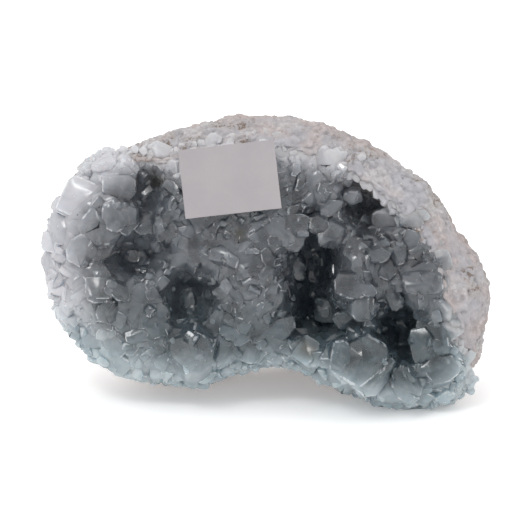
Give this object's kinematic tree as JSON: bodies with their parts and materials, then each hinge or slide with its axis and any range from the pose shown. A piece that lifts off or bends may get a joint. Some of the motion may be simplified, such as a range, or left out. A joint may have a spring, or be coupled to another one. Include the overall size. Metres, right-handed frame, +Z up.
{
  "type": "celestite geode",
  "caption": "Broken piece of a nodule: a chalky rind wrapped round a crust of blocky pale blue crystals with deep pockets, with a blank paper tag stuck on.",
  "frame": {"origin": "centre of the bounding box, at the surface that the piece rests on", "axes": "+Z up, the crystal face looks along -Y and leans back 18 degrees, +X along the long side, to the right as seen from the crystal face"},
  "size_m": [0.1208, 0.0696, 0.0754],
  "materials": {
    "chalky_rind": "matte, chalky, with small pits and brown specks",
    "celestite": "glassy, translucent, pale blue-grey",
    "tag_paper": "matte paper"
  },
  "bodies": {
    "root": {"rind": "chalky_rind", "crystal_crust": "celestite", "paper_tag": "tag_paper"}
  },
  "joints": []
}
